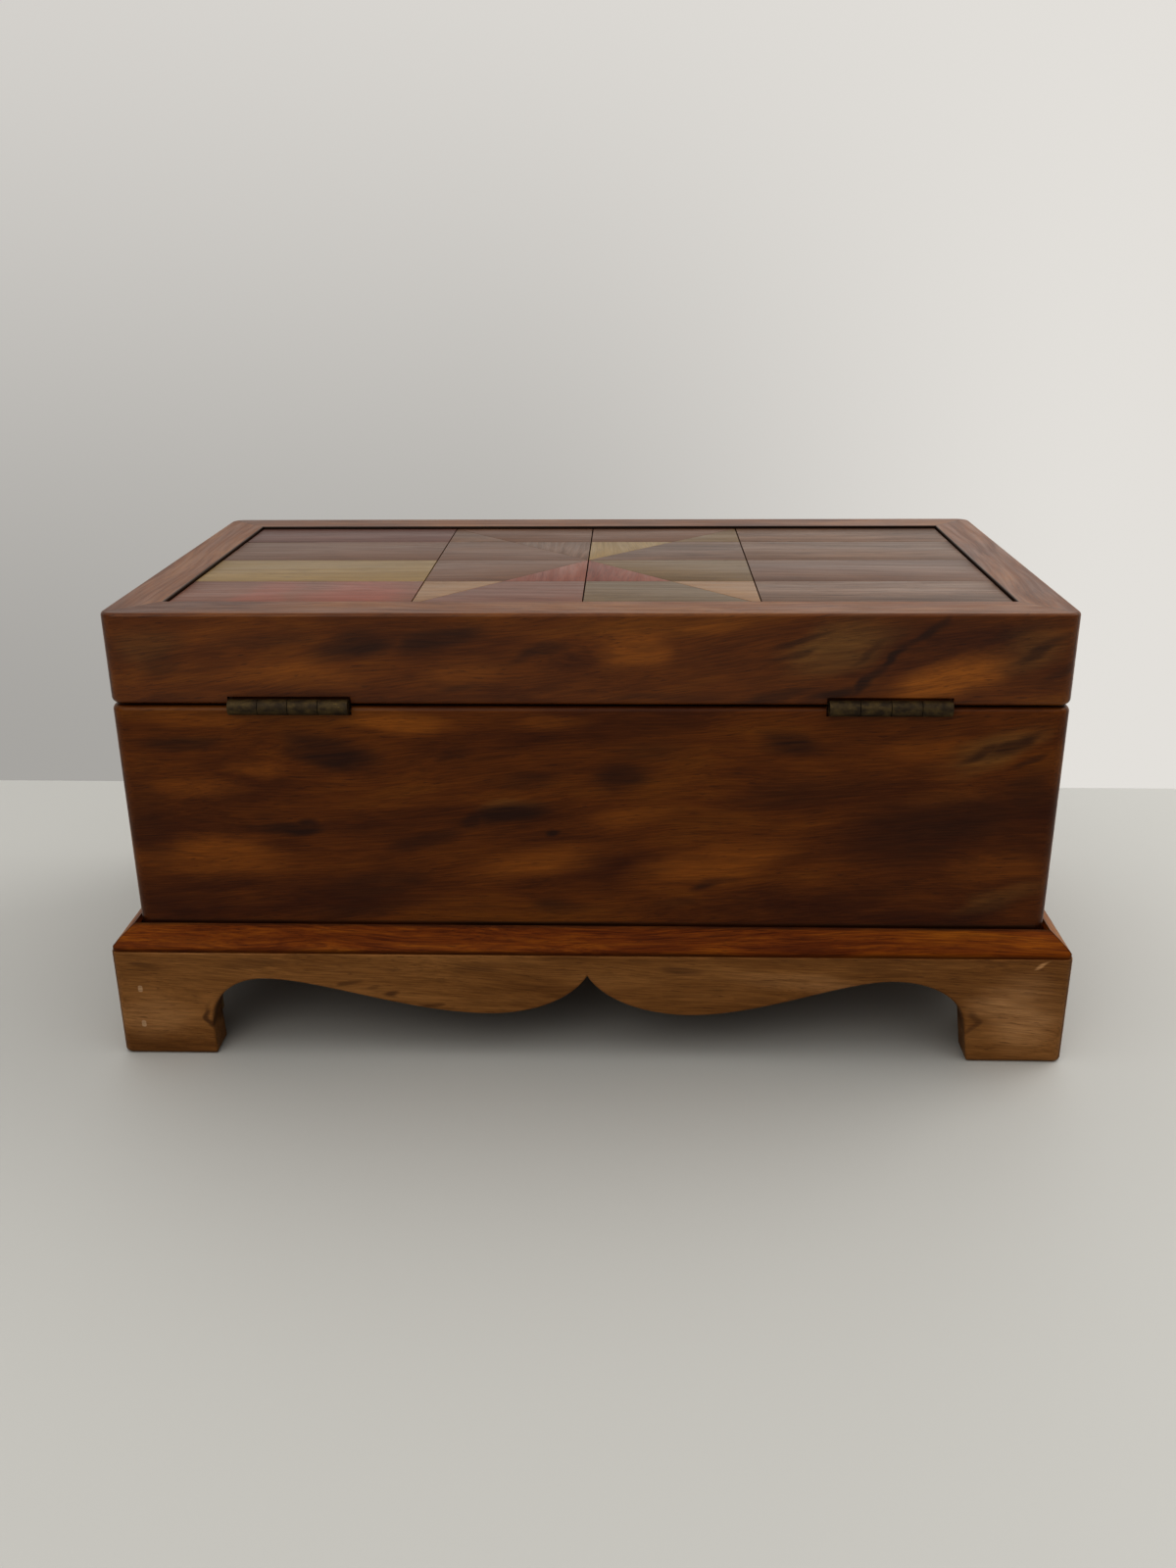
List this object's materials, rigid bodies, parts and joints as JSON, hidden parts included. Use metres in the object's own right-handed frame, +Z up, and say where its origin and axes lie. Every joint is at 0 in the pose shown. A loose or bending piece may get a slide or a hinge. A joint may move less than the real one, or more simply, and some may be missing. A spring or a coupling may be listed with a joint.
{
  "type": "hinged puzzle box",
  "caption": "Hinged wooden puzzle box on a plinth with bracket feet, its lid inlaid with mixed woods; a sliding length of moulding hides the peg of its latch.",
  "frame": {"origin": "centre of the footprint, on the floor the feet stand on", "axes": "+Z up; the front faces -Y and the hinges are at +Y; +X is the right-hand end seen from the front, and the longest way"},
  "size_m": [0.2676, 0.1466, 0.128],
  "materials": {
    "case_wood": "satin varnish",
    "moulding_wood": "satin varnish",
    "plinth_wood": "satin varnish",
    "inside_wood": "bare planed wood",
    "glue_block_wood": "bare sawn wood",
    "latch_wood": "bare planed wood",
    "aged_brass": "dull, tarnished",
    "nail_steel": "bare drawn wire",
    "nail_filler": "pale wood filler",
    "aged_brass_screws": "dull, tarnished",
    "inlay_red_brown": "satin varnish",
    "inlay_brown": "satin varnish",
    "inlay_purple_brown": "satin varnish",
    "inlay_figured_brown": "satin varnish",
    "inlay_pale_yellow": "satin varnish",
    "inlay_peach": "satin varnish",
    "inlay_red": "satin varnish",
    "inlay_olive": "satin varnish"
  },
  "bodies": {
    "case": {"back_apron": "plinth_wood", "back_moulding": "moulding_wood", "back_wall": "case_wood", "corner_glue_blocks": "glue_block_wood", "floor_board": "inside_wood", "front_apron": "plinth_wood", "front_lining": "inside_wood", "front_wall": "case_wood", "left_apron": "plinth_wood", "left_hinge_case_leaf": "aged_brass", "left_hinge_case_screws": "aged_brass_screws", "left_hinge_pin": "aged_brass", "left_moulding": "moulding_wood", "left_wall": "case_wood", "mitre_nails": "nail_steel", "nail_filler": "nail_filler", "right_apron": "plinth_wood", "right_hinge_case_leaf": "aged_brass", "right_hinge_case_screws": "aged_brass_screws", "right_hinge_pin": "aged_brass", "right_moulding": "moulding_wood", "right_wall": "case_wood"},
    "lid": {"inlay_left_strip_1": "inlay_figured_brown", "inlay_left_strip_2": "inlay_brown", "inlay_left_strip_3": "inlay_figured_brown", "inlay_left_strip_4": "inlay_figured_brown", "inlay_right_strip_1": "inlay_red_brown", "inlay_right_strip_2": "inlay_pale_yellow", "inlay_right_strip_3": "inlay_brown", "inlay_right_strip_4": "inlay_purple_brown", "inlay_square_left_inner_1": "inlay_olive", "inlay_square_left_inner_2": "inlay_red", "inlay_square_left_inner_3": "inlay_pale_yellow", "inlay_square_left_inner_4": "inlay_brown", "inlay_square_left_outer_1": "inlay_peach", "inlay_square_left_outer_2": "inlay_olive", "inlay_square_left_outer_3": "inlay_figured_brown", "inlay_square_left_outer_4": "inlay_olive", "inlay_square_right_inner_1": "inlay_red_brown", "inlay_square_right_inner_2": "inlay_red", "inlay_square_right_inner_3": "inlay_figured_brown", "inlay_square_right_inner_4": "inlay_brown", "inlay_square_right_outer_1": "inlay_peach", "inlay_square_right_outer_2": "inlay_brown", "inlay_square_right_outer_3": "inlay_brown", "inlay_square_right_outer_4": "inlay_figured_brown", "keeper_screws": "aged_brass_screws", "left_hinge_lid_leaf": "aged_brass", "left_hinge_lid_screws": "aged_brass_screws", "lid_back_rail": "case_wood", "lid_front_rail": "case_wood", "lid_keepers": "aged_brass", "lid_left_rail": "case_wood", "lid_panel_core": "inside_wood", "lid_right_rail": "case_wood", "right_hinge_lid_leaf": "aged_brass", "right_hinge_lid_screws": "aged_brass_screws"},
    "sliding_moulding": {"sliding_moulding": "moulding_wood"},
    "latch": {"latch_slat": "latch_wood", "latch_peg": "latch_wood"}
  },
  "joints": [
    {"name": "lid_hinge", "type": "hinge", "parent": "case", "child": "lid", "pos_m": [0, 0.0675, 0.103], "axis": [-1, 0, 0], "range_deg": [0, 180]},
    {"name": "moulding_slide", "type": "slide", "parent": "case", "child": "sliding_moulding", "axis": [1, 0, 0], "range_m": [0, 0.038]},
    {"name": "latch_slide", "type": "slide", "parent": "case", "child": "latch", "axis": [1, 0, 0], "range_m": [0, 0.006]}
  ]
}
